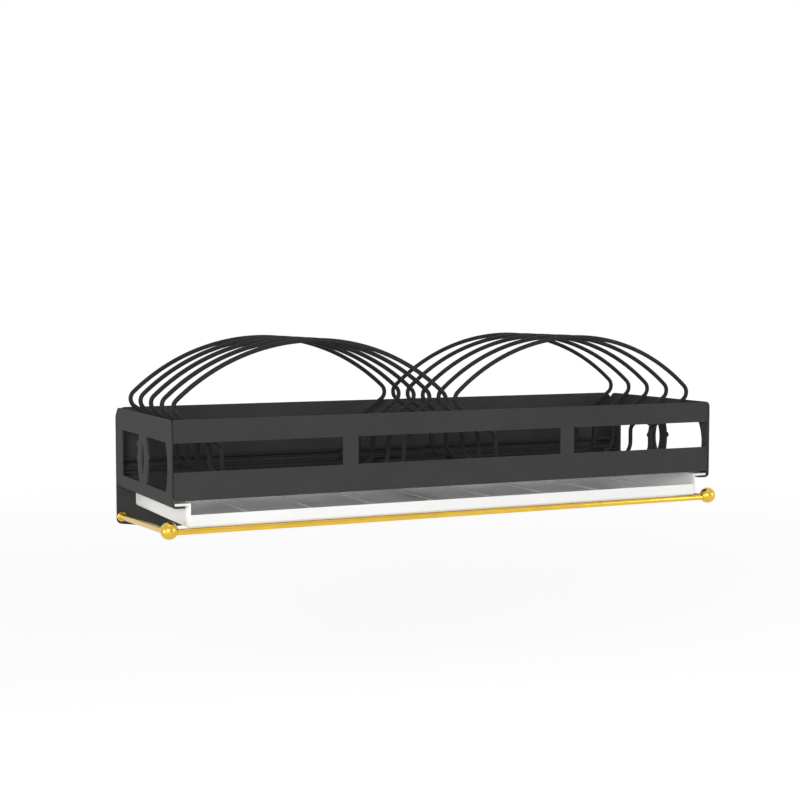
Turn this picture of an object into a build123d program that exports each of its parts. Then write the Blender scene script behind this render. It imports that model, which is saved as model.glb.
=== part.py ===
import os
from math import radians, tan

from build123d import *

os.makedirs("parts", exist_ok=True)

# Frame: the wall is the plane Y = 0, the front faces -Y, Z = 0 is the line of the wall screws
rack_length = 543.0  # outside of the left end panel to outside of the right one
rack_depth = 175.0  # wall to front face
sheet = 1.2  # steel sheet of the front and back panels, gussets and crossbar
end_sheet = 1.6  # thicker sheet of the end panels
screw_drop = 31.5  # wall screws below the top edge
corner_radius = 9.0  # top rear corners of the end panels and top corners of the back panel

# Front panel
top_band = 19.4  # solid band above the windows
front_window_height = 24.3
lower_band = 23.9  # solid band below the windows
post_width = 14.5
post_offset = 109.8  # centre of a post from the middle of the rack
front_seam = 0.7  # gap between the ends of the bands and the end panels

# End panels
end_drop = 6.0  # the end panels reach this far below the front panel
end_window_front = 16.6  # front edge of the front window behind the front face
end_window_rear = 20.9  # rear edge of the rear window from the wall
end_window_height = 41.8
end_window_bow = 6.0  # the front window's front edge bows out by this much
ornament_centre = 85.7  # middle of the ornament bar behind the front face
ornament_width = 21.6  # bar width where it joins the panel
ornament_swell = 5.0  # each side of the bar swells by this much at mid height
ornament_nub = 2.6  # radius of the small round nubs on the bar
front_nub_rise = 3.0  # nub of the bar's front side above mid height
upper_nub_rise = 12.5  # second nub of the rear side above the first one
slit_width = 8.3
slit_height = 29.0
lip_width = 11.8  # inward lip that carries the tray, from the outside face
lip_bend = 2.4  # inner radius of its fold
front_corner_radius = 5.0  # top front corners

# Back panel
back_overhang = 0.4  # wider than the frame at each end
back_margin = 2.0  # the straight side edges end this far below the rail's feet
back_corner_rise = 6.0  # slanted lower corners, measured upright
back_corner_run = 46.0  # and along the length
back_side_radius = 5.0  # where they leave the side edges
screw_spacing = 360.0
screw_hole = 5.5

# Wire racks
wire = 4.0
weld_gap = 0.05  # between crossing wires, filled by the spot weld
seat_gap = 0.3  # between a lift-out wire and the shelf below it
rack_side_gap = 1.8  # outer ends of the cross wires from the end panels
rack_middle_gap = 1.7  # and their inner ends from the middle of the dish rack
group_inset = 1.8  # middle of a wire rack from the middle of its half of the frame
front_cross_lead = 14.5  # front cross wire ahead of the front arch
arch_count = 5
arch_setback = 25.0  # front arch behind the front face
arch_rear_gap = 16.0  # rear arch from the wall
arch_middle_gap = 0.1  # arch corners, before rounding, from the middle of the dish rack
arch_corner_height = 7.6  # corners above the frame's top edge
arch_peak_height = 64.0  # crown above the frame's top edge
arch_corner_bend = 8.5
leg_slant = 36.0  # degrees that the upper leg falls towards the middle
leg_inset = 47.1  # upright legs inside the arch corners
leg_bend = 8.0
foot_bend = 15.0  # bend from the upright leg into the bottom run
arch_foot_rise = 13.0  # bottom run above the tray's rims
stop_height = 8.7  # upper back wire above the lower one
rest_inset = 24.0  # outer plate-rest wires inside the legs
rest_offset = 25.0  # inner ones from the middle of their rack
rest_overhang = 2.0  # beyond the cross wires

# Gussets and crossbar under the wire racks
gusset_reach = 15.0  # along the length
gusset_margin = 0.75  # shelf beyond the cross wire that rests on it
gusset_rise = 5.0  # above its shelf
gusset_fall = 6.5  # below its shelf
crossbar_width = 24.0
crossbar_flange = 5.0

# Drip tray
tray_wall = 2.2
tray_rim = 2.0  # rim thickness
tray_play = 0.3  # rim above the lip it slides on
tray_side_gap = 1.6  # rim edge to the end panel
tray_lip_gap = 1.7  # side wall to the edge of the lip
tray_setback = 1.0  # front wall behind the front face
tray_rear_gap = 14.0  # rear wall from the wall plane
tray_height = 20.8  # bottom to top of the rim
tray_low_wall = 10.8  # height of the front and rear walls
tray_end_width = 3.6  # the side walls' raised ends, seen from the front
tray_corner_radius = 4.0  # upright corners
tray_edge_radius = 3.0  # bottom edges
rib_count = 9
rib_width = 2.4
rib_height = 1.0
rib_margin = 12.0  # ribs stop this far from the walls

# Rail below the tray
rail_rod = 5.4
rail_ball = 15.0
ball_rise = 1.6  # ball centres above the rods
rail_overhang = 1.1  # ball centres beyond the end panels
rail_setback = 3.5  # front rod behind the front face
rail_clearance = 0.3  # top of the front rod below the tray
rail_fall = 8.5  # the arms fall by this much towards the wall
rail_toe_in = 5.2  # and run inward by this much
rail_plug = 4.5  # how far a rod plugs into a ball or a foot
rail_fit = 0.05  # clearance of a plugged rod all round
foot_disc = 8.8
foot_disc_thickness = 2.4
foot_collar = 7.2
foot_collar_length = 8.0

# Heights and planes that follow from the sizes above
half_length = rack_length / 2
front_y = -rack_depth
inside_front_y = front_y + sheet
inside_back_y = -sheet
inside_end_x = half_length - end_sheet
top_z = screw_drop
window_top_z = top_z - top_band
window_sill_z = window_top_z - front_window_height
front_bottom_z = window_sill_z - lower_band
end_bottom_z = front_bottom_z - end_drop
lip_top_z = end_bottom_z + end_sheet
rim_bottom_z = lip_top_z + tray_play
rim_top_z = rim_bottom_z + tray_rim
tray_bottom_z = rim_top_z - tray_height
rail_z = tray_bottom_z - rail_clearance - rail_rod / 2
rail_foot_z = rail_z - rail_fall
arch_foot_z = rim_top_z + arch_foot_rise
shelf_z = arch_foot_z - wire / 2 - seat_gap
front_arch_y = front_y + arch_setback
back_arch_y = -arch_rear_gap
wire_step = wire + weld_gap
front_cross_y = front_arch_y - front_cross_lead
back_cross_y = back_arch_y + wire_step


# Front panel: bands and posts cut from one sheet, held between the end panels
front_half = inside_end_x - front_seam
side_window = front_half - post_offset - post_width / 2
side_window_x = front_half - side_window / 2
front_window_z = (window_top_z + window_sill_z) / 2
with BuildPart() as front_panel:
    with BuildSketch(Plane.XZ.offset(rack_depth - sheet)):
        with Locations((0, (top_z + front_bottom_z) / 2)):
            Rectangle(2 * front_half, top_z - front_bottom_z)
        with Locations((0, front_window_z)):
            Rectangle(2 * post_offset - post_width, front_window_height, mode=Mode.SUBTRACT)
        with Locations((-side_window_x, front_window_z), (side_window_x, front_window_z)):
            Rectangle(side_window, front_window_height, mode=Mode.SUBTRACT)
    extrude(amount=sheet)
front_panel.part.label = "front_panel"
export_step(front_panel.part, "parts/front_panel.step")


# End panels: two windows, a pierced ornament bar between them and a folded lip for the tray
end_window_z = window_top_z - end_window_height / 2
end_sill_z = window_top_z - end_window_height
ornament_y = front_y + ornament_centre
window_front_y = front_y + end_window_front
window_rear_y = -end_window_rear
bar_front_y = ornament_y - ornament_width / 2
bar_rear_y = ornament_y + ornament_width / 2
nubs = (
    (bar_front_y - ornament_swell, end_window_z + front_nub_rise),
    (bar_rear_y + ornament_swell, end_window_z),
    (bar_rear_y + ornament_swell, end_window_z + upper_nub_rise),
)
lip_middle_x = end_sheet / 2 - half_length
lip_middle_z = end_bottom_z + end_sheet / 2
with BuildPart() as left_end_panel:
    with BuildSketch(Plane.YZ.offset(-half_length)) as outline:
        with Locations(((front_y + inside_back_y) / 2, (top_z + front_bottom_z) / 2)):
            Rectangle(inside_back_y - front_y, top_z - front_bottom_z)
        fillet(outline.vertices().group_by(Axis.Y)[-1].sort_by(Axis.X)[0], front_corner_radius)
        fillet(outline.vertices().group_by(Axis.X)[-1].sort_by(Axis.Y)[-1], corner_radius)
        with BuildLine():
            Polyline(
                (bar_rear_y, window_top_z),
                (window_rear_y, window_top_z),
                (window_rear_y, end_sill_z),
                (bar_rear_y, end_sill_z),
            )
            ThreePointArc(
                (bar_rear_y, end_sill_z),
                (bar_rear_y + ornament_swell, end_window_z),
                (bar_rear_y, window_top_z),
            )
        make_face(mode=Mode.SUBTRACT)
        with BuildLine():
            Line((bar_front_y, window_top_z), (window_front_y, window_top_z))
            ThreePointArc(
                (window_front_y, window_top_z),
                (window_front_y - end_window_bow, end_window_z),
                (window_front_y, end_sill_z),
            )
            Line((window_front_y, end_sill_z), (bar_front_y, end_sill_z))
            ThreePointArc(
                (bar_front_y, end_sill_z),
                (bar_front_y - ornament_swell, end_window_z),
                (bar_front_y, window_top_z),
            )
        make_face(mode=Mode.SUBTRACT)
        with Locations(*nubs):
            Circle(ornament_nub)
        with BuildLine():
            ThreePointArc(
                (ornament_y, end_window_z + slit_height / 2),
                (ornament_y - slit_width / 2, end_window_z),
                (ornament_y, end_window_z - slit_height / 2),
            )
            ThreePointArc(
                (ornament_y, end_window_z - slit_height / 2),
                (ornament_y + slit_width / 2, end_window_z),
                (ornament_y, end_window_z + slit_height / 2),
            )
        make_face(mode=Mode.SUBTRACT)
    extrude(amount=end_sheet)
    with BuildSketch(Plane.XZ.offset(-inside_back_y)):
        with BuildLine():
            FilletPolyline(
                (lip_middle_x, front_bottom_z),
                (lip_middle_x, lip_middle_z),
                (lip_width - half_length, lip_middle_z),
                radius=lip_bend + end_sheet / 2,
            )
        trace(line_width=end_sheet)
    extrude(amount=inside_back_y - front_y)
left_end_panel.part.label = "left_end_panel"
export_step(left_end_panel.part, "parts/left_end_panel.step")

with BuildPart() as right_end_panel:
    mirror(left_end_panel.part, about=Plane.YZ)
right_end_panel.part.label = "right_end_panel"
export_step(right_end_panel.part, "parts/right_end_panel.step")


# Back panel: wall plate with slanted lower corners and the two wall-screw holes
back_half = half_length + back_overhang
back_side_z = rail_foot_z - foot_disc / 2 - back_margin
back_bottom_z = back_side_z - back_corner_rise
with BuildPart() as back_panel:
    with BuildSketch(Plane.XZ) as plate:
        with BuildLine():
            Polyline(
                (-back_half, top_z),
                (back_half, top_z),
                (back_half, back_side_z),
                (back_half - back_corner_run, back_bottom_z),
                (back_corner_run - back_half, back_bottom_z),
                (-back_half, back_side_z),
                close=True,
            )
        make_face()
        fillet(plate.vertices().group_by(Axis.Y)[1], back_side_radius)
        fillet(plate.vertices().group_by(Axis.Y)[-1], corner_radius)
        with GridLocations(screw_spacing, 0, 2, 1):
            Circle(screw_hole / 2, mode=Mode.SUBTRACT)
    extrude(amount=sheet)
back_panel.part.label = "back_panel"
export_step(back_panel.part, "parts/back_panel.step")


# Gussets: bent corner pieces that join the panels and hold up the ends of the wire racks
for side_name, side in (("left", -1), ("right", 1)):
    for end_name, corner_y, wire_y, inward in (
        ("front", inside_front_y, front_cross_y, 1),
        ("back", inside_back_y, back_cross_y, -1),
    ):
        corner_x = side * inside_end_x
        shelf_edge_y = wire_y + inward * (wire / 2 + gusset_margin)
        with BuildPart() as gusset:
            with BuildSketch(Plane.XY.offset(shelf_z - gusset_fall)):
                with BuildLine():
                    Polyline(
                        (corner_x, corner_y),
                        (corner_x - side * gusset_reach, corner_y),
                        (corner_x - side * gusset_reach, corner_y + inward * sheet),
                        (corner_x - side * sheet, corner_y + inward * sheet),
                        (corner_x - side * sheet, shelf_edge_y),
                        (corner_x, shelf_edge_y),
                        close=True,
                    )
                make_face()
            extrude(amount=gusset_fall + gusset_rise)
            with BuildSketch(Plane.XY.offset(shelf_z - sheet)):
                with Locations((corner_x - side * gusset_reach / 2, (corner_y + shelf_edge_y) / 2)):
                    Rectangle(gusset_reach, abs(shelf_edge_y - corner_y))
            extrude(amount=sheet)
        gusset.part.label = f"{end_name}_{side_name}_gusset"
        export_step(gusset.part, f"parts/{gusset.part.label}.step")


# Centre crossbar: inverted channel with end tabs, under the inner ends of both wire racks
with BuildPart() as centre_crossbar:
    with BuildSketch(Plane.XZ.offset(-inside_back_y)):
        with Locations((0, shelf_z - crossbar_flange / 2)):
            Rectangle(crossbar_width, crossbar_flange)
        with Locations((0, shelf_z - sheet - crossbar_flange / 2)):
            Rectangle(crossbar_width - 2 * sheet, crossbar_flange, mode=Mode.SUBTRACT)
    extrude(amount=inside_back_y - inside_front_y)
    with BuildSketch(Plane.XZ.offset(-inside_back_y), Plane.XZ.offset(-inside_front_y - sheet)):
        with Locations((0, shelf_z - gusset_fall / 2)):
            Rectangle(crossbar_width, gusset_fall)
    extrude(amount=sheet)
centre_crossbar.part.label = "centre_crossbar"
export_step(centre_crossbar.part, "parts/centre_crossbar.step")


# Wire racks: five closed arches on each side, tied by cross wires and plate-rest wires
group_centre = inside_end_x / 2 - group_inset
cross_length = inside_end_x - rack_side_gap - rack_middle_gap
cross_middle = rack_middle_gap + cross_length / 2
arch_corner = group_centre - arch_middle_gap
leg_offset = arch_corner - leg_inset
outer_rest = leg_offset - rest_inset
corner_z = top_z + arch_corner_height
peak_z = top_z + arch_peak_height
bend_z = corner_z - (arch_corner - leg_offset) * tan(radians(leg_slant))
arch_pitch = (back_arch_y - front_arch_y) / (arch_count - 1)
rest_z = arch_foot_z - wire_step
for side_name, side in (("left", -1), ("right", 1)):
    centre_x = side * group_centre
    for index in range(arch_count):
        arch_plane = Plane(
            origin=(centre_x, front_arch_y + arch_pitch * index, 0), x_dir=(1, 0, 0), z_dir=(0, -1, 0)
        )
        with BuildSketch(arch_plane) as loop:
            with BuildLine():
                Polyline(
                    (-arch_corner, corner_z),
                    (-leg_offset, bend_z),
                    (-leg_offset, arch_foot_z),
                    (leg_offset, arch_foot_z),
                    (leg_offset, bend_z),
                    (arch_corner, corner_z),
                )
                ThreePointArc((arch_corner, corner_z), (0, peak_z), (-arch_corner, corner_z))
            make_face()
            fillet(loop.vertices().group_by(Axis.Y)[1], leg_bend)
            fillet(loop.vertices().group_by(Axis.Y)[-1], arch_corner_bend)
            fillet(loop.vertices().group_by(Axis.Y)[0], foot_bend)
        path = loop.sketch.face().outer_wire()
        with BuildPart() as arch:
            with BuildSketch(Plane(origin=path @ 0, z_dir=path % 0)):
                Circle(wire / 2)
            sweep(path=path)
        arch.part.label = f"{side_name}_arch_{index + 1}"
        export_step(arch.part, f"parts/{arch.part.label}.step")

    for index, offset_x in enumerate((-outer_rest, -rest_offset, rest_offset, outer_rest)):
        with BuildPart() as rest_wire:
            with BuildSketch(Plane.XZ.offset(-back_cross_y - wire / 2 - rest_overhang)):
                with Locations((centre_x + offset_x, rest_z)):
                    Circle(wire / 2)
            extrude(amount=back_cross_y - front_cross_y + wire + 2 * rest_overhang)
        rest_wire.part.label = f"{side_name}_rest_wire_{index + 1}"
        export_step(rest_wire.part, f"parts/{rest_wire.part.label}.step")

    for wire_name, wire_y, wire_z in (
        ("front_cross_wire", front_cross_y, arch_foot_z),
        ("back_cross_wire", back_cross_y, arch_foot_z),
        ("back_stop_wire", back_cross_y, arch_foot_z + stop_height),
    ):
        with BuildPart() as cross_wire:
            with BuildSketch(Plane.YZ.offset(side * cross_middle - cross_length / 2)):
                with Locations((wire_y, wire_z)):
                    Circle(wire / 2)
            extrude(amount=cross_length)
        cross_wire.part.label = f"{side_name}_{wire_name}"
        export_step(cross_wire.part, f"parts/{cross_wire.part.label}.step")


# Drip tray: open plastic tray with rounded corners, low at the front and rear, hung by its two side rims
tray_half = half_length - lip_width - tray_lip_gap
rim_half = inside_end_x - tray_side_gap
low_wall_z = tray_bottom_z + tray_low_wall
tray_front_y = front_y + tray_setback
tray_rear_y = -tray_rear_gap
tray_run = tray_rear_y - tray_front_y
tray_middle_y = (tray_front_y + tray_rear_y) / 2
rib_run = tray_run - 2 * (tray_wall + rib_margin)
rib_pitch = 2 * (tray_half - tray_wall - rib_margin) / (rib_count - 1)
rim_inner = tray_half - tray_wall
rim_width = rim_half - rim_inner
rim_x = rim_inner + rim_width / 2
with BuildPart() as drip_tray:
    with BuildSketch(Plane.XY.offset(tray_bottom_z)):
        with Locations((0, tray_middle_y)):
            RectangleRounded(2 * tray_half, tray_run, tray_corner_radius)
    extrude(amount=tray_height)
    fillet(drip_tray.faces().sort_by(Axis.Z)[0].edges(), tray_edge_radius)
    offset(amount=-tray_wall, openings=drip_tray.faces().sort_by(Axis.Z)[-1])
    with BuildSketch(Plane.XY.offset(low_wall_z)):
        with Locations((0, tray_middle_y)):
            Rectangle(2 * (tray_half - tray_end_width), tray_run)
    extrude(amount=rim_top_z - low_wall_z, mode=Mode.SUBTRACT)
    with BuildSketch(Plane.XY.offset(rim_bottom_z)):
        with Locations((-rim_x, tray_middle_y), (rim_x, tray_middle_y)):
            Rectangle(rim_width, tray_run)
    extrude(amount=tray_rim)
    with BuildSketch(Plane.XY.offset(tray_bottom_z + tray_wall)):
        with Locations((0, tray_middle_y)):
            with GridLocations(rib_pitch, 0, rib_count, 1):
                SlotOverall(rib_run, rib_width, rotation=90)
    extrude(amount=rib_height)
drip_tray.part.label = "drip_tray"
export_step(drip_tray.part, "parts/drip_tray.step")


# Rail: a front rod and two arms plugged into corner balls, with feet on the back panel
rail_half_span = half_length + rail_overhang
rail_y = front_y + rail_setback
with BuildPart() as rail_front_rod:
    with BuildSketch(Plane(origin=(rail_plug - rail_half_span, rail_y, rail_z), z_dir=(1, 0, 0))):
        Circle(rail_rod / 2)
    extrude(amount=2 * (rail_half_span - rail_plug))
rail_front_rod.part.label = "rail_front_rod"
export_step(rail_front_rod.part, "parts/rail_front_rod.step")

for side_name, side in (("left", -1), ("right", 1)):
    rod_corner = Vector(side * rail_half_span, rail_y, rail_z)
    ball_centre = rod_corner + Vector(0, 0, ball_rise)
    foot_centre = Vector(side * (rail_half_span - rail_toe_in), inside_back_y, rail_foot_z)
    arm_run = foot_centre - rod_corner
    from_ball = Plane(origin=rod_corner, z_dir=arm_run)
    from_foot = Plane(origin=foot_centre, z_dir=arm_run * -1)

    with BuildPart() as rail_arm:
        with BuildSketch(from_ball.offset(rail_plug)):
            Circle(rail_rod / 2)
        extrude(amount=arm_run.length - 2 * rail_plug)
    rail_arm.part.label = f"rail_{side_name}_arm"
    export_step(rail_arm.part, f"parts/{rail_arm.part.label}.step")

    with BuildPart() as ball:
        with Locations(ball_centre):
            Sphere(rail_ball / 2)
        with BuildSketch(from_ball.offset(rail_plug)):
            Circle(rail_rod / 2 + rail_fit)
        extrude(amount=rail_ball, mode=Mode.SUBTRACT)
        with BuildSketch(Plane(origin=rod_corner, z_dir=(-side, 0, 0)).offset(rail_plug)):
            Circle(rail_rod / 2 + rail_fit)
        extrude(amount=rail_ball, mode=Mode.SUBTRACT)
    ball.part.label = f"rail_{side_name}_ball"
    export_step(ball.part, f"parts/{ball.part.label}.step")

    with BuildPart() as foot:
        with BuildSketch(Plane(origin=foot_centre, z_dir=(0, -1, 0))):
            Circle(foot_disc / 2)
        extrude(amount=foot_disc_thickness)
        with BuildSketch(from_foot.offset(foot_disc_thickness / 2)):
            Circle(foot_collar / 2)
        extrude(amount=foot_collar_length - foot_disc_thickness / 2)
        with BuildSketch(from_foot.offset(rail_plug)):
            Circle(rail_rod / 2 + rail_fit)
        extrude(amount=foot_collar_length, mode=Mode.SUBTRACT)
    foot.part.label = f"rail_{side_name}_foot"
    export_step(foot.part, f"parts/{foot.part.label}.step")
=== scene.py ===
from math import atan2, cos, radians, sin, sqrt, tan

import bmesh
import bpy
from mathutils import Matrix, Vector


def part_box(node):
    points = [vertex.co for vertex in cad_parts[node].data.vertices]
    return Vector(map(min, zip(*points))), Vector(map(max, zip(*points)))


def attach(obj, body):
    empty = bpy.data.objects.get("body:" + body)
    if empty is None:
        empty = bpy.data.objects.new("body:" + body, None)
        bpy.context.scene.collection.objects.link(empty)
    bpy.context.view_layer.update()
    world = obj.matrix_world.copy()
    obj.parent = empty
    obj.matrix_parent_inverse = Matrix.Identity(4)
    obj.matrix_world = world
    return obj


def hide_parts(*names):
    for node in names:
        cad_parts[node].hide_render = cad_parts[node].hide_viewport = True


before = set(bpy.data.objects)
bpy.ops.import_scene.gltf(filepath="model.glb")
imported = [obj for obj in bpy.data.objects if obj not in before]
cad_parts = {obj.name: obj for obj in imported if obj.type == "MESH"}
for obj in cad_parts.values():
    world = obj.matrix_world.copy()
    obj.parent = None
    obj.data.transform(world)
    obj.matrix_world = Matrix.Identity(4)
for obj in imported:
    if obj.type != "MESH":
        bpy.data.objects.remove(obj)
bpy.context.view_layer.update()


# Back panel: the flat wall plate that the rest of the rack is welded to, with two holes for wall screws.
# It is cut from 1.2 mm steel sheet, its edges are deburred, and it is powder coated satin black.
sheet_edge = 0.0003
sheet_shade = 0.047
sheet_roughness = 0.56
# The rounded edges get a lighter shade of the same coat: a painted highlight where the edges would catch the
# light
sheet_edge_highlight_shade = 0.056
sheet_edge_roughness = 0.48
coat_reflection = 0.03
coat_thick_tint = (0.82, 0.82, 0.82)
coat_thin_tint = (1.22, 1.21, 1.18)
coat_drift_share = 0.45
coat_roughness_spread = 0.05
same_point = 0.000002
same_plane = radians(0.5)
edge_turn = radians(35)
edge_steps = 2
flat_face_weight = 80


# Uneven pattern fixed to the piece: how fine it is, and how much finer detail lies over it
def unevenness(finish, fineness, detail):
    place = finish.node_tree.nodes.new("ShaderNodeTexCoord")
    pattern = finish.node_tree.nodes.new("ShaderNodeTexNoise")
    pattern.inputs["Scale"].default_value = fineness
    pattern.inputs["Detail"].default_value = detail
    finish.node_tree.links.new(place.outputs["Object"], pattern.inputs["Vector"])
    return pattern.outputs["Fac"]


# Colour that turns from one tint to the other where the pattern rises from low to high
def tint_by(finish, pattern, low, high, low_colour, high_colour):
    ramp = finish.node_tree.nodes.new("ShaderNodeValToRGB")
    first, last = ramp.color_ramp.elements
    first.position = low
    first.color = (*low_colour, 1.0)
    last.position = high
    last.color = (*high_colour, 1.0)
    shader = finish.node_tree.nodes["Principled BSDF"]
    finish.node_tree.links.new(pattern, ramp.inputs["Fac"])
    finish.node_tree.links.new(ramp.outputs["Color"], shader.inputs["Base Color"])


def roughen_by(finish, pattern, low, high, low_roughness, high_roughness):
    haze = finish.node_tree.nodes.new("ShaderNodeMapRange")
    haze.inputs["From Min"].default_value = low
    haze.inputs["From Max"].default_value = high
    haze.inputs["To Min"].default_value = low_roughness
    haze.inputs["To Max"].default_value = high_roughness
    shader = finish.node_tree.nodes["Principled BSDF"]
    finish.node_tree.links.new(pattern, haze.inputs["Value"])
    finish.node_tree.links.new(haze.outputs["Result"], shader.inputs["Roughness"])


def raise_by(finish, pattern, strength, depth):
    relief = finish.node_tree.nodes.new("ShaderNodeBump")
    relief.inputs["Strength"].default_value = strength
    relief.inputs["Distance"].default_value = depth
    shader = finish.node_tree.nodes["Principled BSDF"]
    finish.node_tree.links.new(pattern, relief.inputs["Height"])
    finish.node_tree.links.new(relief.outputs["Normal"], shader.inputs["Normal"])


def powder_coat(name, shade, roughness):
    coat = bpy.data.materials.new(name)
    coat.use_nodes = True
    coat.node_tree.nodes["Principled BSDF"].inputs["Specular IOR Level"].default_value = coat_reflection
    # Slow drift of the coat's thickness, pigment grain of half a millimetre, and orange peel of a millimetre
    drift = unevenness(coat, fineness=22.0, detail=3.0)
    grain = unevenness(coat, fineness=1900.0, detail=2.0)
    peel = unevenness(coat, fineness=850.0, detail=1.0)
    mottle = coat.node_tree.nodes.new("ShaderNodeMath")
    mottle.operation = "MULTIPLY_ADD"
    mottle.inputs[1].default_value = coat_drift_share
    coat.node_tree.links.new(drift, mottle.inputs[0])
    coat.node_tree.links.new(grain, mottle.inputs[2])
    thick = [shade * part for part in coat_thick_tint]
    thin = [shade * part for part in coat_thin_tint]
    tint_by(coat, mottle.outputs["Value"], low=0.45, high=1.0, low_colour=thick, high_colour=thin)
    smoothest = roughness - coat_roughness_spread
    roughest = roughness + coat_roughness_spread
    roughen_by(coat, drift, low=0.3, high=0.7, low_roughness=smoothest, high_roughness=roughest)
    raise_by(coat, peel, strength=0.35, depth=0.00006)
    return coat


# Copy of a solid with clean faces, rounded edges and its finishes, the last of which is on the edges
def softened_copy(node, edge, finishes):
    shape = bmesh.new()
    shape.from_mesh(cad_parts[node].data)
    bmesh.ops.remove_doubles(shape, verts=shape.verts, dist=same_point)
    bmesh.ops.dissolve_limit(shape, angle_limit=same_plane, verts=shape.verts, edges=shape.edges)
    mesh = bpy.data.meshes.new(node + "_finished")
    shape.to_mesh(mesh)
    shape.free()
    for leftover in ("custom_normal", "sharp_edge", "sharp_face"):
        if leftover in mesh.attributes:
            mesh.attributes.remove(mesh.attributes[leftover])
    for polygon in mesh.polygons:
        polygon.use_smooth = True
        polygon.material_index = 0
    for finish in finishes:
        mesh.materials.append(finish)
    piece = bpy.data.objects.new(node + "_finished", mesh)
    bpy.context.collection.objects.link(piece)
    rounding = piece.modifiers.new("Softened edges", "BEVEL")
    rounding.width = edge
    rounding.segments = edge_steps
    rounding.limit_method = "ANGLE"
    rounding.angle_limit = edge_turn
    rounding.material = len(finishes) - 1
    flat_faces = piece.modifiers.new("Flat faces shaded flat", "WEIGHTED_NORMAL")
    flat_faces.weight = flat_face_weight
    return piece


sheet_coat = powder_coat("black powder coat on sheet", sheet_shade, sheet_roughness)
# Lighter copy of the sheet coat for the rounded edges, a painted highlight along them
sheet_edge_highlight_coat = powder_coat("black powder coat on sheet edges", sheet_edge_highlight_shade, sheet_edge_roughness)


def coated_sheet(node):
    piece = softened_copy(node, sheet_edge, (sheet_coat, sheet_edge_highlight_coat))
    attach(piece, "frame")
    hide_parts(node)


coated_sheet("back_panel")


# End panels: the two ends of the box, each pierced by two windows with a slotted, swelling bar between.
# They are cut from 1.6 mm steel sheet, folded below into a lip for the tray, and welded to the back panel.
coated_sheet("left_end_panel")
coated_sheet("right_end_panel")


# Front panel: one long sheet with a top band, a lower band and two posts round three windows.
# It is cut from 1.2 mm steel sheet and held by the gussets, with a narrow seam at each end panel.
coated_sheet("front_panel")


# Gussets and crossbar: bent corner pieces and an inverted channel inside the box, out of sight.
# They are folded from the same sheet and spot welded, and the wire racks rest on them.
coated_sheet("front_left_gusset")
coated_sheet("front_right_gusset")
coated_sheet("back_left_gusset")
coated_sheet("back_right_gusset")
coated_sheet("centre_crossbar")


# Wire arches: two rows of five closed loops with a round crown, which divide the rack into upright slots.
# They are bent from 4 mm steel wire, butt welded, and powder coated black with the wires that tie them.
sides = ("left", "right")
wire_diameter = 0.004
wire_facets = 18
wire_shade = 0.028
wire_roughness = 0.34
arch_count = 5
arch_half_width = 0.13305
arch_bend_steps = 8
crown_bend = 0.0085
crown_corner_drop = 0.0564
crown_stretches = 5
leg_slant = radians(36)
leg_inset = 0.0471
leg_bend = 0.008
foot_bend = 0.015

wire_coat = powder_coat("black powder coat on wire", wire_shade, wire_roughness)


# A line drawn out into round wire and repeated in even steps
def wire_row_tree():
    tree = bpy.data.node_groups.new("row of coated wires", "GeometryNodeTree")
    for name, kind in (
        ("Line", "NodeSocketGeometry"),
        ("Wire radius", "NodeSocketFloat"),
        ("Wires", "NodeSocketInt"),
        ("Step", "NodeSocketVector"),
        ("Coat", "NodeSocketMaterial"),
    ):
        tree.interface.new_socket(name, in_out="INPUT", socket_type=kind)
    tree.interface.new_socket("Row", in_out="OUTPUT", socket_type="NodeSocketGeometry")
    given = tree.nodes.new("NodeGroupInput")
    result = tree.nodes.new("NodeGroupOutput")
    section = tree.nodes.new("GeometryNodeCurvePrimitiveCircle")
    section.inputs["Resolution"].default_value = wire_facets
    drawn = tree.nodes.new("GeometryNodeCurveToMesh")
    drawn.inputs["Fill Caps"].default_value = True
    smooth = tree.nodes.new("GeometryNodeSetShadeSmooth")
    places = tree.nodes.new("GeometryNodeMeshLine")
    row = tree.nodes.new("GeometryNodeInstanceOnPoints")
    real = tree.nodes.new("GeometryNodeRealizeInstances")
    coated = tree.nodes.new("GeometryNodeSetMaterial")
    for start, end in (
        (given.outputs["Wire radius"], section.inputs["Radius"]),
        (given.outputs["Line"], drawn.inputs["Curve"]),
        (section.outputs["Curve"], drawn.inputs["Profile Curve"]),
        (drawn.outputs["Mesh"], smooth.inputs["Geometry"]),
        (given.outputs["Wires"], places.inputs["Count"]),
        (given.outputs["Step"], places.inputs["Offset"]),
        (places.outputs["Mesh"], row.inputs["Points"]),
        (smooth.outputs["Geometry"], row.inputs["Instance"]),
        (row.outputs["Instances"], real.inputs["Geometry"]),
        (real.outputs["Geometry"], coated.inputs["Geometry"]),
        (given.outputs["Coat"], coated.inputs["Material"]),
        (coated.outputs["Geometry"], result.inputs["Row"]),
    ):
        tree.links.new(start, end)
    return tree


# Plain mesh that a tree makes from its source
def baked(source, tree, sizes, name):
    bpy.context.collection.objects.link(source)
    maker = source.modifiers.new(tree.name, "NODES")
    maker.node_group = tree
    for socket in tree.interface.items_tree:
        if socket.in_out == "INPUT" and socket.name in sizes:
            maker[socket.identifier] = sizes[socket.name]
    ready = source.evaluated_get(bpy.context.evaluated_depsgraph_get())
    mesh = bpy.data.meshes.new_from_object(ready)
    bpy.data.objects.remove(source)
    piece = bpy.data.objects.new(name, mesh)
    bpy.context.collection.objects.link(piece)
    return piece


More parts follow.
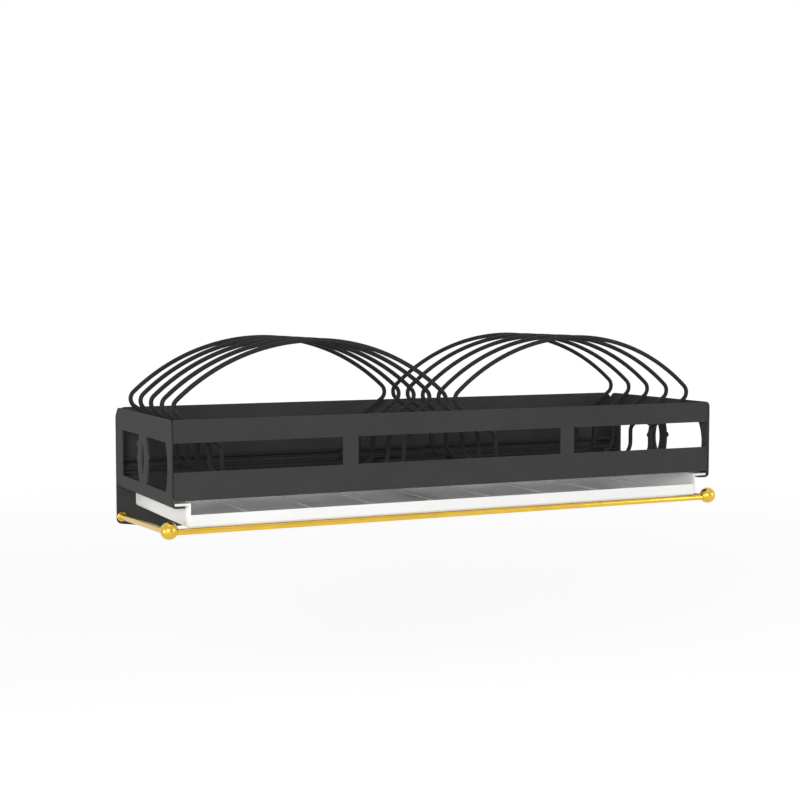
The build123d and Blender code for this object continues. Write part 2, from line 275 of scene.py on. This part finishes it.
# Where the bends of half an arch begin and end, from its foot round to the top of its crown
def half_arch(foot_z, peak_z):
    corner = Vector((arch_half_width, peak_z - crown_corner_drop))
    leg_x = arch_half_width - leg_inset
    leg = Vector((cos(leg_slant), sin(leg_slant)))
    upright = Vector((0.0, 1.0))
    knee = corner - leg * (leg_inset / cos(leg_slant))
    knee_length = leg_bend * tan((radians(90) - leg_slant) / 2)
    crown_radius = (arch_half_width**2 + crown_corner_drop**2) / (2 * crown_corner_drop)
    crown_centre = Vector((0.0, peak_z - crown_radius))
    inward = Vector((-leg.y, leg.x))
    reach = corner + inward * crown_bend - crown_centre
    along = reach.dot(leg)
    cut_back = along - sqrt(along**2 - reach.length_squared + (crown_radius - crown_bend) ** 2)
    corner_start = corner - leg * cut_back
    outward = corner_start + inward * crown_bend - crown_centre
    crown_turn = atan2(outward.x, outward.y)
    half = [
        (Vector((leg_x - foot_bend, foot_z)), Vector((1.0, 0.0))),
        (Vector((leg_x, foot_z + foot_bend)), upright),
        (knee - upright * knee_length, upright),
        (knee + leg * knee_length, leg),
        (corner_start, leg),
    ]
    for stretch in range(crown_stretches + 1):
        turn = crown_turn * (1 - stretch / crown_stretches)
        place = crown_centre + Vector((sin(turn), cos(turn))) * crown_radius
        half.append((place, Vector((-cos(turn), sin(turn)))))
    return half


# A closed line through those places, with handles that make each stretch a straight run or a round bend
def arch_line(name, centre_x, y, half):
    whole = list(half)
    for place, heading in reversed(half[:-1]):
        whole.append((Vector((-place.x, place.y)), Vector((heading.x, -heading.y))))
    line = bpy.data.curves.new(name, "CURVE")
    line.dimensions = "3D"
    loop = line.splines.new("BEZIER")
    loop.bezier_points.add(len(whole) - 1)
    loop.use_cyclic_u = True
    loop.resolution_u = arch_bend_steps
    for index, (place, heading) in enumerate(whole):
        point = loop.bezier_points[index]
        point.handle_left_type = "FREE"
        point.handle_right_type = "FREE"
        point.co = (centre_x + place.x, y, place.y)
        for step in (-1, 1):
            other, other_heading = whole[(index + step) % len(whole)]
            turn = heading.angle(other_heading)
            handle = place + heading * step * (other - place).length / (3 * cos(turn / 4) ** 2)
            if step < 0:
                point.handle_left = (centre_x + handle.x, y, handle.y)
            else:
                point.handle_right = (centre_x + handle.x, y, handle.y)
    return bpy.data.objects.new(name, line)


wire_rows = wire_row_tree()
for side in sides:
    first_low, first_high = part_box(side + "_arch_1")
    last_low, last_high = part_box(f"{side}_arch_{arch_count}")
    centre_x = (first_low[0] + first_high[0]) / 2
    first_y = (first_low[1] + first_high[1]) / 2
    pitch = (last_low[1] - first_low[1]) / (arch_count - 1)
    half = half_arch(first_low[2] + wire_diameter / 2, first_high[2] - wire_diameter / 2)
    arches = baked(
        arch_line(side + "_arch_line", centre_x, first_y, half),
        wire_rows,
        {"Wire radius": wire_diameter / 2, "Wires": arch_count, "Step": (0.0, pitch, 0.0), "Coat": wire_coat},
        side + "_arches",
    )
    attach(arches, side + "_plate_rack")
    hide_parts(*[f"{side}_arch_{index + 1}" for index in range(arch_count)])


# Cross wires and rest wires: straight pieces of the same 4 mm wire, sheared to length.
# They are spot welded across the feet of the arches, tie each row into one rack and make its floor.
rest_count = 4
sheared_edge = 0.0005
sheared_end = 0.78


def straight_run(line, start, end):
    inset = (end - start).normalized() * sheared_edge
    stops = ((start, sheared_end), (start + inset, 1.0), (end - inset, 1.0), (end, sheared_end))
    run = line.splines.new("POLY")
    run.points.add(len(stops) - 1)
    for point, (place, thickness) in zip(run.points, stops):
        point.co = (*place, 1.0)
        point.radius = thickness


for side in sides:
    straights = [f"{side}_rest_wire_{index + 1}" for index in range(rest_count)]
    straights += [side + "_front_cross_wire", side + "_back_cross_wire", side + "_back_stop_wire"]
    line = bpy.data.curves.new(side + "_straight_line", "CURVE")
    line.dimensions = "3D"
    for node in straights:
        low, high = (Vector(corner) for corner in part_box(node))
        middle = (low + high) / 2
        length = high - low
        half_run = Vector((length.x / 2, 0.0, 0.0))
        if length.y > length.x:
            half_run = Vector((0.0, length.y / 2, 0.0))
        straight_run(line, middle - half_run, middle + half_run)
    wires = baked(
        bpy.data.objects.new(side + "_straight_line", line),
        wire_rows,
        {"Wire radius": wire_diameter / 2, "Wires": 1, "Step": (0.0, 0.0, 0.0), "Coat": wire_coat},
        side + "_straight_wires",
    )
    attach(wires, side + "_plate_rack")
    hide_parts(*straights)


# Spot welds: small squeezed beads where two wires cross, left by the welding electrodes under the coat.
# There is one wherever a rest wire or the rear arch crosses another wire.
weld_radius = 0.0016
weld_segments = 12
weld_rings = 8


# One bead at each crossing
def weld_tree():
    tree = bpy.data.node_groups.new("spot welds", "GeometryNodeTree")
    for name, kind in (
        ("Crossings", "NodeSocketGeometry"),
        ("Bead radius", "NodeSocketFloat"),
        ("Coat", "NodeSocketMaterial"),
    ):
        tree.interface.new_socket(name, in_out="INPUT", socket_type=kind)
    tree.interface.new_socket("Beads", in_out="OUTPUT", socket_type="NodeSocketGeometry")
    given = tree.nodes.new("NodeGroupInput")
    result = tree.nodes.new("NodeGroupOutput")
    bead = tree.nodes.new("GeometryNodeMeshUVSphere")
    bead.inputs["Segments"].default_value = weld_segments
    bead.inputs["Rings"].default_value = weld_rings
    smooth = tree.nodes.new("GeometryNodeSetShadeSmooth")
    spread = tree.nodes.new("GeometryNodeInstanceOnPoints")
    real = tree.nodes.new("GeometryNodeRealizeInstances")
    coated = tree.nodes.new("GeometryNodeSetMaterial")
    for start, end in (
        (given.outputs["Bead radius"], bead.inputs["Radius"]),
        (bead.outputs["Mesh"], smooth.inputs["Geometry"]),
        (given.outputs["Crossings"], spread.inputs["Points"]),
        (smooth.outputs["Geometry"], spread.inputs["Instance"]),
        (spread.outputs["Instances"], real.inputs["Geometry"]),
        (real.outputs["Geometry"], coated.inputs["Geometry"]),
        (given.outputs["Coat"], coated.inputs["Material"]),
        (coated.outputs["Geometry"], result.inputs["Beads"]),
    ):
        tree.links.new(start, end)
    return tree


def middle_of(node):
    low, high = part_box(node)
    return (Vector(low) + Vector(high)) / 2


spot_welds = weld_tree()
for side in sides:
    rests = [middle_of(f"{side}_rest_wire_{index + 1}") for index in range(rest_count)]
    arch_middles = [middle_of(f"{side}_arch_{index + 1}") for index in range(arch_count)]
    front = middle_of(side + "_front_cross_wire")
    back = middle_of(side + "_back_cross_wire")
    stop = middle_of(side + "_back_stop_wire")
    seam_z = (rests[0].z + front.z) / 2
    crossed = [front, back, *arch_middles]
    crossings = [(rest.x, wire.y, seam_z) for rest in rests for wire in crossed]
    rear_arch = arch_middles[-1]
    for sign in (-1, 1):
        leg_x = rear_arch.x + sign * (arch_half_width - leg_inset)
        crossings.append((leg_x, (stop.y + rear_arch.y) / 2, stop.z))
        crossings.append((leg_x - sign * foot_bend, (back.y + rear_arch.y) / 2, back.z))
    dots = bpy.data.meshes.new(side + "_crossings")
    dots.from_pydata(crossings, [], [])
    welds = baked(
        bpy.data.objects.new(side + "_crossings", dots),
        spot_welds,
        {"Bead radius": weld_radius, "Coat": wire_coat},
        side + "_spot_welds",
    )
    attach(welds, side + "_plate_rack")


# Drip tray: a shallow white tray that hangs by two side rims on the end panels' lips and slides out in front.
# It is moulded in one piece from semi-gloss plastic, with low ribs in its floor.
tray_edge = 0.0005
tray_colour = (0.86, 0.86, 0.85)
tray_dark_flow = (0.97, 0.97, 0.965)
tray_light_flow = (1.02, 1.02, 1.02)
tray_reflection = 0.45


def moulded_plastic(name):
    plastic = bpy.data.materials.new(name)
    plastic.use_nodes = True
    plastic.node_tree.nodes["Principled BSDF"].inputs["Specular IOR Level"].default_value = tray_reflection
    # Flow of the melt, some centimetres across, and the fine grain of the mould
    flow = unevenness(plastic, fineness=14.0, detail=2.0)
    grain = unevenness(plastic, fineness=1200.0, detail=2.0)
    dark = [colour * part for colour, part in zip(tray_colour, tray_dark_flow)]
    light = [colour * part for colour, part in zip(tray_colour, tray_light_flow)]
    tint_by(plastic, flow, low=0.3, high=0.7, low_colour=dark, high_colour=light)
    roughen_by(plastic, flow, low=0.0, high=1.0, low_roughness=0.24, high_roughness=0.36)
    raise_by(plastic, grain, strength=0.2, depth=0.00003)
    return plastic


tray = softened_copy("drip_tray", tray_edge, (moulded_plastic("white moulded plastic"),))
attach(tray, "tray")
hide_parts("drip_tray")


# Rail: a front rod and two arms of 5.4 mm rod, plugged into two corner balls, and two feet on the back panel.
# Rod, arms, balls and feet are turned metal with a polished gold finish, and things are hung from them.
gold_edge = 0.0003
gold_colour = (0.69, 0.45, 0.062)
gold_dull_tint = (0.93, 0.92, 0.85)
gold_bright_tint = (1.03, 1.03, 1.1)


def polished_gold(name):
    gold = bpy.data.materials.new(name)
    gold.use_nodes = True
    gold.node_tree.nodes["Principled BSDF"].inputs["Metallic"].default_value = 1.0
    # Tarnish, about a centimetre across, and the marks of the buffing wheel
    tarnish = unevenness(gold, fineness=60.0, detail=4.0)
    buffing = unevenness(gold, fineness=1500.0, detail=2.0)
    dull = [colour * part for colour, part in zip(gold_colour, gold_dull_tint)]
    bright = [colour * part for colour, part in zip(gold_colour, gold_bright_tint)]
    tint_by(gold, tarnish, low=0.3, high=0.7, low_colour=dull, high_colour=bright)
    roughen_by(gold, tarnish, low=0.0, high=1.0, low_roughness=0.16, high_roughness=0.30)
    raise_by(gold, buffing, strength=0.03, depth=0.00002)
    return gold


rail_gold = polished_gold("polished gold")
rail_nodes = ["rail_front_rod"]
for side in sides:
    rail_nodes += [f"rail_{side}_{part}" for part in ("arm", "ball", "foot")]
for node in rail_nodes:
    turned = softened_copy(node, gold_edge, (rail_gold,))
    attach(turned, "frame")
    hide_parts(node)


# Studio: a pale paper floor well below the rack, four soft lamps, and a white surround.
# The surround's light is strongest near the horizon, as from large windows, and the lamps fill it in.
floor_z = -0.42
floor_half = 8.0
paper_colour = (0.86, 0.86, 0.86, 1.0)
paper_roughness = 0.9
paper_near = 1.0
paper_far = 4.0
paper_near_glow = 0.57
paper_far_glow = 0.74
horizon_height = 0.1
upper_height = 0.8
horizon_light = 0.8
upper_light = 0.18
white = (1.0, 1.0, 1.0, 1.0)


# 1 for what is seen straight on, mirrored or through glass, and 0 for what only gives light
def in_view(tree):
    ray = tree.nodes.new("ShaderNodeLightPath")
    seen = ray.outputs["Is Camera Ray"]
    for kind in ("Is Glossy Ray", "Is Transmission Ray"):
        either = tree.nodes.new("ShaderNodeMath")
        either.operation = "MAXIMUM"
        tree.links.new(seen, either.inputs[0])
        tree.links.new(ray.outputs[kind], either.inputs[1])
        seen = either.outputs["Value"]
    return seen


floor_corners = []
for x, y in ((-1, -1), (1, -1), (1, 1), (-1, 1)):
    floor_corners.append((x * floor_half, y * floor_half, floor_z))
floor_mesh = bpy.data.meshes.new("studio_floor")
floor_mesh.from_pydata(floor_corners, [], [(0, 1, 2, 3)])
floor = bpy.data.objects.new("studio_floor", floor_mesh)
bpy.context.collection.objects.link(floor)

# In view, the paper is near white below the rack and pure white far off, so that no horizon shows
paper = bpy.data.materials.new("pale studio paper")
paper.use_nodes = True
paper_tree = paper.node_tree
paper_shader = paper_tree.nodes["Principled BSDF"]
paper_shader.inputs["Base Color"].default_value = paper_colour
paper_shader.inputs["Roughness"].default_value = paper_roughness
paper_shader.inputs["Specular IOR Level"].default_value = 0.0
paper_shader.inputs["Emission Color"].default_value = white
paper_place = paper_tree.nodes.new("ShaderNodeTexCoord")
distance = paper_tree.nodes.new("ShaderNodeVectorMath")
distance.operation = "LENGTH"
whitening = paper_tree.nodes.new("ShaderNodeMapRange")
whitening.inputs["From Min"].default_value = paper_near
whitening.inputs["From Max"].default_value = paper_far
whitening.inputs["To Min"].default_value = paper_near_glow
whitening.inputs["To Max"].default_value = paper_far_glow
glow = paper_tree.nodes.new("ShaderNodeMath")
glow.operation = "MULTIPLY"
paper_tree.links.new(paper_place.outputs["Object"], distance.inputs[0])
paper_tree.links.new(distance.outputs["Value"], whitening.inputs["Value"])
paper_tree.links.new(in_view(paper_tree), glow.inputs[0])
paper_tree.links.new(whitening.outputs["Result"], glow.inputs[1])
paper_tree.links.new(glow.outputs["Value"], paper_shader.inputs["Emission Strength"])
floor_mesh.materials.append(paper)

# In view, the surround is white, and its light fades from the horizon up
studio = bpy.data.worlds.new("studio")
studio.use_nodes = True
bpy.context.scene.world = studio
studio_tree = studio.node_tree
soft_light = studio_tree.nodes["Background"]
soft_light.inputs["Color"].default_value = white
direction = studio_tree.nodes.new("ShaderNodeNewGeometry")
height = studio_tree.nodes.new("ShaderNodeSeparateXYZ")
fade = studio_tree.nodes.new("ShaderNodeMapRange")
fade.inputs["From Min"].default_value = horizon_height
fade.inputs["From Max"].default_value = upper_height
fade.inputs["To Min"].default_value = horizon_light
fade.inputs["To Max"].default_value = upper_light
backdrop = studio_tree.nodes.new("ShaderNodeBackground")
backdrop.inputs["Color"].default_value = white
backdrop.inputs["Strength"].default_value = 1.0
surround = studio_tree.nodes.new("ShaderNodeMixShader")
studio_tree.links.new(direction.outputs["Position"], height.inputs["Vector"])
studio_tree.links.new(height.outputs["Z"], fade.inputs["Value"])
studio_tree.links.new(fade.outputs["Result"], soft_light.inputs["Strength"])
studio_tree.links.new(in_view(studio_tree), surround.inputs["Fac"])
studio_tree.links.new(soft_light.outputs["Background"], surround.inputs[1])
studio_tree.links.new(backdrop.outputs["Background"], surround.inputs[2])
studio_tree.links.new(surround.outputs["Shader"], studio_tree.nodes["World Output"].inputs["Surface"])


def softbox(name, place, aim, size, power):
    lamp = bpy.data.lights.new(name, "AREA")
    lamp.shape = "SQUARE"
    lamp.size = size
    lamp.energy = power
    box = bpy.data.objects.new(name, lamp)
    box.location = place
    box.rotation_euler = (Vector(aim) - Vector(place)).to_track_quat("-Z", "Y").to_euler()
    bpy.context.collection.objects.link(box)


rack_middle = (0.0, -0.1, 0.0)
left_end = (-0.27, -0.1, -0.05)
softbox("key_light", place=(-1.2, -1.9, 0.44), aim=rack_middle, size=0.6, power=20.0)
softbox("fill_light", place=(1.7, -1.6, 0.4), aim=rack_middle, size=0.6, power=10.0)
softbox("left_light", place=(-2.2, -0.6, -0.05), aim=left_end, size=0.8, power=8.0)
softbox("top_light", place=(0.0, -0.2, 2.0), aim=rack_middle, size=1.4, power=4.0)


# Camera: a short telephoto in front of the rack, to its left and a little above it.
# It looks slightly down and to the right.
camera_place = (-0.6318, -1.3771, 0.1286)
camera_lens = 68.11
camera_sensor = 36.0
camera_dip = radians(3.70)
camera_turn = radians(25.33)

camera_data = bpy.data.cameras.new("photo_camera")
camera_data.lens = camera_lens
camera_data.sensor_width = camera_sensor
camera = bpy.data.objects.new("photo_camera", camera_data)
camera.location = camera_place
camera.rotation_euler = (radians(90) - camera_dip, 0.0, -camera_turn)
bpy.context.collection.objects.link(camera)
bpy.context.scene.camera = camera
bpy.context.scene.view_settings.view_transform = "Standard"


# Bring every object's placement up to date
bpy.context.view_layer.update()
